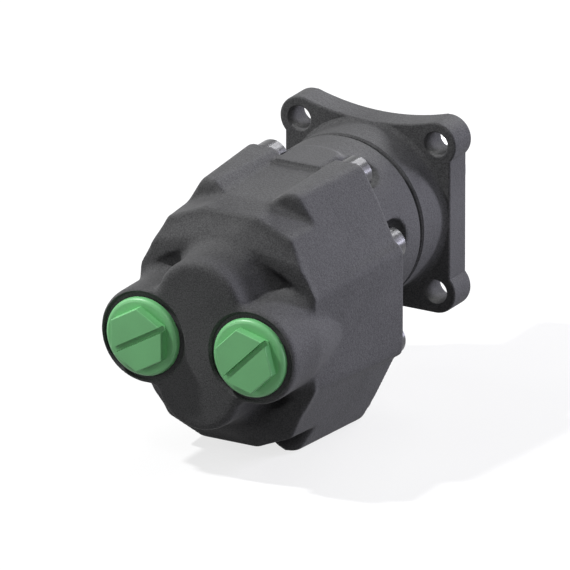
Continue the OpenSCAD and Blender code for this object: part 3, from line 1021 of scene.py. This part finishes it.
    def plate(self) -> Form:
        """The square plate with its four lobes and the hollow in its top edge.

        Returns:
            The closed part.
        """
        dip_r, centre = self.dip()
        reach = math.degrees(math.asin((BOLT_AT - 2) / dip_r))
        top = [(dip_r * sin, centre - dip_r * cos) for sin, cos in (sin_cos(reach * k / 8) for k in range(-8, 9))]
        side = [(BOLT_AT + self.lobe_r * cos, BOLT_AT + self.lobe_r * sin)
                for sin, cos in map(sin_cos, range(96, -44, -6))]
        side += [(self.side_at, BOLT_AT - 8.0), (self.side_at, 8.0 - BOLT_AT)]
        side += [(BOLT_AT + self.lobe_r * cos, self.lobe_r * sin - BOLT_AT)
                 for sin, cos in map(sin_cos, range(42, -91, -6))]
        left = [(-x, z) for x, z in reversed(side)]
        return Form().prism(top + side + left, 0, PLATE_T).soften(self.plate_edge, 50)

    def skin(self) -> bpy.types.Object:
        """The whole casting as one rounded skin, with the plate added crisp.

        Returns:
            The skin.
        """
        block = self.block()
        rear = add_object("rear", block.data.copy())
        combine(rear, [Form().slab(self.root_from, BEYOND)], "INTERSECT")
        gather(rear, [self.noses().piece("nose_form"), self.port_bosses().piece("boss_form")])
        fill_creases(rear, self.root_r, self.root_voxel_mm)
        gather(block, [rear, self.hub()])
        remesh(block, self.voxel_mm)
        relax(block, 3)
        share_of = block.vertex_groups.new(name="body")
        shares = {}
        for vertex in block.data.vertices:
            share = min(max((-vertex.co.y / MM - self.blend_start) / self.blend_len, 0), 1)
            shares.setdefault(round(share, 1), []).append(vertex.index)
        for share, members in shares.items():
            share_of.add(members, share, "REPLACE")
        relax(block, 2, "body")
        return combine(block, [self.plate()], "UNION")


@dataclass
class Housing:
    """Cover and body: the casting's two halves with everything that is machined into them."""

    iron: bpy.types.Material
    cut: bpy.types.Material
    casting: Casting = field(default_factory=Casting)
    chamber_r: float = 24.6
    chamber_end: float = 163.8
    spot_r: float = 23.75
    port_r: float = 15.4
    port_end: float = 171.0
    passage_x: float = 34.0
    passage_r: float = 8.0
    passage_start: float = 122.9
    bolt_r: float = 6.5
    thread_r: float = 6.05
    thread_end: float = 126.0
    screw_r: float = 6.6

    @staticmethod
    def tint(piece: bpy.types.Object, rules: Sequence[tuple[float, float, float, float, float]]) -> None:
        """Gives faces inside given cylinders the machined material.

        Args:
            piece: The object.
            rules: (x, z, radius, from, to) of each machined cylinder, in millimetres.
        """
        for face in piece.data.polygons:
            c = face.center / MM
            for x, z, radius, start, end in rules:
                if start <= -c.y <= end and math.hypot(c.x - x, c.z - z) <= radius:
                    face.material_index = 1
                    break

    def body(self, skin: bpy.types.Object) -> bpy.types.Object:
        """The rear casting with chamber, ports and sealing faces.

        Args:
            skin: The whole casting.

        Returns:
            The finished piece.
        """
        piece = add_object("body_casting", skin.data.copy())
        combine(piece, [Form().slab(JOINT_AT, BEYOND)], "INTERSECT")
        axes = (0, -GEAR_SPAN)
        tools = [Form().rod(self.chamber_r, JOINT_AT - 1, self.chamber_end, 0, z) for z in axes]
        port, seat, end = self.port_r, self.spot_r, self.port_end
        profile = [(0, end), (port - 1, end), (port, end + 1), (port, SPOT_AT - 1), (port + 1, SPOT_AT)]
        profile += [(seat - 0.5, SPOT_AT), (seat - 0.5, 189.7), (seat + 0.9, 191.1), (seat + 0.9, 195), (0, 195)]
        for side in SIDES:
            passage_x = side * self.passage_x
            tools.append(Form().lathe(profile, side * PORT_X, MID_Z, 128))
            tools.append(Form().rod(self.passage_r, self.passage_start, end + 0.5, passage_x, MID_Z, sides=64))
        tools += [Form().rod(self.thread_r, JOINT_AT - 1, self.thread_end, x, z, sides=32)
                  for x, z in self.casting.screws()]
        combine(piece, tools)
        rules = [(side * PORT_X, MID_Z, seat + 0.75, 165, PORT_AT - 0.05) for side in SIDES]
        rules += [(0, z, self.chamber_r + 0.3, 90, self.chamber_end + 0.2) for z in axes]
        self.tint(piece, rules)
        return finish_piece(piece, "housing", [self.iron, self.cut], ["pump_body"])

    def cover(self, skin: bpy.types.Object) -> bpy.types.Object:
        """The front casting with plate, spigot, bores and the turned groove.

        Args:
            skin: The whole casting.

        Returns:
            The finished piece.
        """
        piece = add_object("cover_casting", skin.data.copy())
        combine(piece, [Form().slab(0, JOINT_AT)], "INTERSECT")
        combine(piece, [Form().lathe([(0, -7.5), (39, -7.5), (40, -6.5), (40, 2), (0, 2)], steps=128)], "UNION")
        bore = [(0, -9), (36, -9), (36, 6.4), (37.5, 6.4), (37.5, 8.5), (36, 8.5), (36, 25.5), (26, 25.5), (26, 74)]
        bore += [(20, 74), (20, BLOCK_AT), (14.5, BLOCK_AT), (14.5, JOINT_AT + 1), (0, JOINT_AT + 1)]
        groove = [(41.3, 38.5), (44.0, 38.4), (46, 36.6), (46, 42.6), (44.0, 40.8), (41.3, 40.7)]
        tools = [Form().lathe(bore, steps=128), Form().lathe(groove, steps=160)]
        r = self.bolt_r
        hole = [(0, -1), (r + 1, -1), (r + 0.5, 0), (r, 0.5), (r, PLATE_T - 0.5), (r + 0.5, PLATE_T)]
        hole += [(r + 1, PLATE_T + 1), (0, PLATE_T + 1)]
        bolts = [(sx * BOLT_AT, sz * BOLT_AT) for sx in SIDES for sz in SIDES]
        tools += [Form().lathe(hole, x, z, 64) for x, z in bolts]
        tools += [Form().rod(self.screw_r, BLOCK_AT - 1, JOINT_AT + 1, x, z, sides=32)
                  for x, z in self.casting.screws()]
        combine(piece, tools)
        rules = [(x, z, r + 0.3, -1, PLATE_T + 0.2) for x, z in bolts]
        rules += [(0, 0, 40.2, -8, 8), (0, 0, 36.1, 6, 30)]
        self.tint(piece, rules)
        for face in piece.data.polygons:
            if abs(face.center.y) < 2e-6 and face.normal.y > 0.9:
                face.material_index = 1
        return finish_piece(piece, "housing", [self.iron, self.cut], ["front_cover"])

    def build(self) -> None:
        """Builds both castings."""
        skin = self.casting.skin()
        LOG.info("casting skin: %d faces", len(skin.data.polygons))
        self.body(skin)
        self.cover(skin)
        discard(skin)


# -------------------- plugs


@dataclass
class PortPlug:
    """A moulded screw plug: flange, slotted hexagon and hollow threaded shank."""

    side: int
    turn: float
    flange_r: float = 20.8
    seat: float = 0.65
    flange_t: float = 3.7
    edge_r: float = 2.3
    hexagon_r: float = 17.0
    hexagon_h: float = 5.0
    hexagon_edge: float = 0.55
    slot_w: float = 3.0
    slot_depth: float = 4.2
    shank_r: float = 15.35
    shank: float = 14.0
    wall: float = 3.0
    thread_depth: float = 1.2
    pitch: float = 2.309

    def build(self, green: bpy.types.Material) -> bpy.types.Object:
        """Builds the plug.

        Args:
            green: The moulded plastic.

        Returns:
            The finished piece.
        """
        name = "left" if self.side < 0 else "right"
        x, z = self.side * PORT_X, MID_Z
        face = SPOT_AT + self.seat
        top = face + self.flange_t
        rim = [(0, face + 0.5), (15, face + 0.5), (15, face), (self.flange_r - 0.4, face), (self.flange_r, face + 0.4)]
        rim += [(self.flange_r - self.edge_r * (1 - cos), top - self.edge_r * (1 - sin))
                for sin, cos in map(sin_cos, range(0, 91, 18))]
        piece = Form().lathe(rim + [(0, top)], x, z, 128).piece(f"{name}_plug")
        hexagon = Form().rod(self.hexagon_r, top - 1, top + self.hexagon_h, x, z, sides=6).turn(self.turn - 30, x, z)
        hexagon.soften(self.hexagon_edge)
        combine(piece, [hexagon], "UNION")
        slot = Form().hull([spot(x + a, at, z + b) for a in (-25, 25) for b in (-self.slot_w / 2, self.slot_w / 2)
                            for at in (top + self.hexagon_h - self.slot_depth, top + self.hexagon_h + 2)])
        slot.turn(self.turn, x, z)
        r, tip = self.shank_r, SPOT_AT - self.shank
        inside, root = r - self.wall, r - self.thread_depth
        shank = [(0, tip + 4), (inside, tip + 3.4), (inside, tip), (root - 0.2, tip)]
        at = tip + 0.6
        while at + self.pitch < SPOT_AT:
            shank += [(root, at), (r, at + self.pitch * 0.42), (r, at + self.pitch * 0.58)]
            at += self.pitch
        shank += [(root, at), (root, face + 1), (0, face + 1)]
        combine(piece, [Form().lathe(shank, x, z, 96)], "UNION")
        combine(piece, [slot])
        return finish_piece(piece, f"{name}_plug", [green], [f"{name}_port_cap"], 40)


# -------------------- studio


@dataclass
class Studio:
    """Floor, lamps, surroundings and camera."""

    lens: float = 1200.0
    sensor: float = 36.0
    width_px: float = 570.0
    pixels_per_mm: float = 1.972
    azimuth: float = 29.8
    elevation: float = 20.3
    target: tuple = (0.0, 101.5, -16.4)
    sky: float = 0.07
    bounce: float = 0.12
    paper: float = 0.9
    glow: float = 0.75
    floor_size: float = 6.0
    floor_gap_mm: float = 0.1
    lamp_range: float = 1.8
    lamp_aim: tuple = (0.0, 100.0, -20.0)
    lamps: tuple = (("key_lamp", 295, 53, 0.1, 33, WHITE), ("low_softbox", 320, 8, 0.4, 5, WHITE),
                    ("left_softbox", 270, 30, 0.4, 3, WHITE), ("front_softbox", 180, 22, 0.8, 24, WHITE),
                    ("far_softbox", 135, 25, 0.4, 15, BLUISH), ("grazing_softbox", 135, 8, 0.4, 16, BLUISH),
                    ("right_softbox", 100, 6, 0.5, 9, BLUISH), ("rear_softbox", 45, 35, 0.4, 5, WHITE))

    def camera(self) -> None:
        """Sets the camera to the photograph's angle and scale."""
        data = bpy.data.cameras.new("camera")
        data.lens = self.lens
        data.sensor_width = self.sensor
        data.clip_end = 50
        distance = self.lens / self.sensor * self.width_px / self.pixels_per_mm * MM
        camera = add_object("camera", data)
        self.aim(camera, self.target, self.azimuth, self.elevation, distance)
        bpy.context.scene.camera = camera

    @staticmethod
    def aim(thing: bpy.types.Object, target: tuple, azimuth: float, elevation: float, distance: float) -> None:
        """Puts a camera or lamp in a direction from a target, and turns it to the target.

        Args:
            thing: The camera or lamp.
            target: The (x, at, z) point that it looks at.
            azimuth: Its direction in degrees, from the rear towards the right.
            elevation: Its height over the horizon in degrees.
            distance: Its distance from the target in metres.
        """
        away = towards(azimuth, elevation)
        thing.location = spot(*target) + away * distance
        thing.rotation_euler = away.to_track_quat("Z", "Y").to_euler()

    def lamp(self, name: str, azimuth: float, elevation: float, size: float, watts: float, colour: tuple) -> None:
        """Adds a soft square lamp that faces the pump.

        Args:
            name: The lamp's name.
            azimuth: Its direction in degrees, from the rear towards the right.
            elevation: Its height over the horizon in degrees.
            size: Its width in metres.
            watts: Its power.
            colour: Its colour.
        """
        data = bpy.data.lights.new(name, "AREA")
        data.size = size
        data.energy = watts
        data.color = colour
        self.aim(add_object(name, data), self.lamp_aim, azimuth, elevation, self.lamp_range)

    @staticmethod
    def seen(tree: bpy.types.NodeTree) -> bpy.types.NodeSocket:
        """A socket that is 1 for rays of the camera, of gloss and of glass, and 0 for the rest.

        Args:
            tree: The node tree that gets it.

        Returns:
            The socket.
        """
        path = tree.nodes.new("ShaderNodeLightPath")
        found = path.outputs["Is Camera Ray"]
        for name in ("Is Glossy Ray", "Is Transmission Ray"):
            most = tree.nodes.new("ShaderNodeMath")
            most.operation = "MAXIMUM"
            tree.links.new(found, most.inputs[0])
            tree.links.new(path.outputs[name], most.inputs[1])
            found = most.outputs[0]
        return found

    def surroundings(self) -> None:
        """White for what the camera and gloss see, and a dimmer light for the rest."""
        world = bpy.data.worlds.new("surroundings")
        world.use_nodes = True
        bpy.context.scene.world = world
        tree = world.node_tree
        tree.nodes.clear()
        mix = tree.nodes.new("ShaderNodeMixShader")
        out = tree.nodes.new("ShaderNodeOutputWorld")
        for number, (colour, strength) in enumerate((((0.93, 0.95, 1.0), self.sky), (WHITE, 1.0)), 1):
            background = tree.nodes.new("ShaderNodeBackground")
            background.inputs["Color"].default_value = (*colour, 1)
            background.inputs["Strength"].default_value = strength
            tree.links.new(background.outputs[0], mix.inputs[number])
        tree.links.new(self.seen(tree), mix.inputs[0])
        tree.links.new(mix.outputs[0], out.inputs[0])

    def floor(self, height_mm: float) -> None:
        """Adds a floor that looks pale and throws little light back.

        Args:
            height_mm: Its height in the frame.
        """
        plane = Form()
        bmesh.ops.create_grid(plane.bm, x_segments=1, y_segments=1, size=self.floor_size,
                              matrix=Matrix.Translation(spot(0, 0, height_mm)))
        floor = plane.piece("floor")
        material = bpy.data.materials.new("floor")
        material.use_nodes = True
        tree = material.node_tree
        tree.nodes.clear()
        dull, pale = tree.nodes.new("ShaderNodeBsdfDiffuse"), tree.nodes.new("ShaderNodeBsdfDiffuse")
        for node, grey in ((dull, self.bounce), (pale, self.paper)):
            node.inputs["Color"].default_value = (grey, grey, grey, 1)
        glow = tree.nodes.new("ShaderNodeEmission")
        glow.inputs["Strength"].default_value = 1.0
        shown, mix = tree.nodes.new("ShaderNodeMixShader"), tree.nodes.new("ShaderNodeMixShader")
        shown.inputs[0].default_value = self.glow
        for node, first, second in ((shown, pale, glow), (mix, dull, shown)):
            tree.links.new(first.outputs[0], node.inputs[1])
            tree.links.new(second.outputs[0], node.inputs[2])
        tree.links.new(self.seen(tree), mix.inputs[0])
        out = tree.nodes.new("ShaderNodeOutputMaterial")
        tree.links.new(mix.outputs[0], out.inputs[0])
        floor.data.materials.append(material)

    def build(self) -> None:
        """Builds the studio."""
        self.camera()
        self.surroundings()
        self.floor(CAD_BOX[0][2] / MM - self.floor_gap_mm)
        for lamp in self.lamps:
            self.lamp(*lamp)


def dress_nodes() -> None:
    """Gives every CAD node that stays in view its finish."""
    finishes = {Slot.STEEL: Steel("ground_steel", (0.58, 0.58, 0.60), 0.26),
                Slot.SCREW: Steel("plated_steel", (0.075, 0.075, 0.08), 0.24),
                Slot.SPRING: Steel("phosphated_steel", (0.07, 0.07, 0.075), 0.42),
                Slot.BRASS: Steel("pressed_brass", (0.62, 0.45, 0.19), 0.32),
                Slot.ALLOY: Steel("machined_aluminium", (0.68, 0.68, 0.67), 0.36),
                Slot.BRONZE: Steel("sintered_bronze", (0.42, 0.28, 0.15), 0.46),
                Slot.RUBBER: Moulding("black_rubber", (0.022, 0.022, 0.022), 0.58),
                Slot.LIP: Moulding("lip_rubber", (0.12, 0.045, 0.022), 0.5)}
    materials = {slot.value: finish.make() for slot, finish in finishes.items()}
    slots = {part["node"]: part["material_slot"] for part in frame["record"]["subparts"]}
    for name, node in frame["nodes"].items():
        if slots.get(name) in materials:
            node.data.materials.clear()
            node.data.materials.append(materials[slots[name]])


def main() -> None:
    """Builds the dressed pump and its studio."""
    logging.basicConfig(level=logging.INFO, format="%(message)s")
    bpy.context.scene.view_settings.view_transform = "Standard"
    Studio().build()
    iron = CastIron().make()
    cut = CutIron().make()
    green = Moulding("green_moulding", (0.17, 0.50, 0.20), 0.4, 0.012).make()
    Housing(iron, cut).build()
    for plug in (PortPlug(-1, 30), PortPlug(1, 45)):
        plug.build(green)
    dress_nodes()


if __name__ == "__main__":
    main()
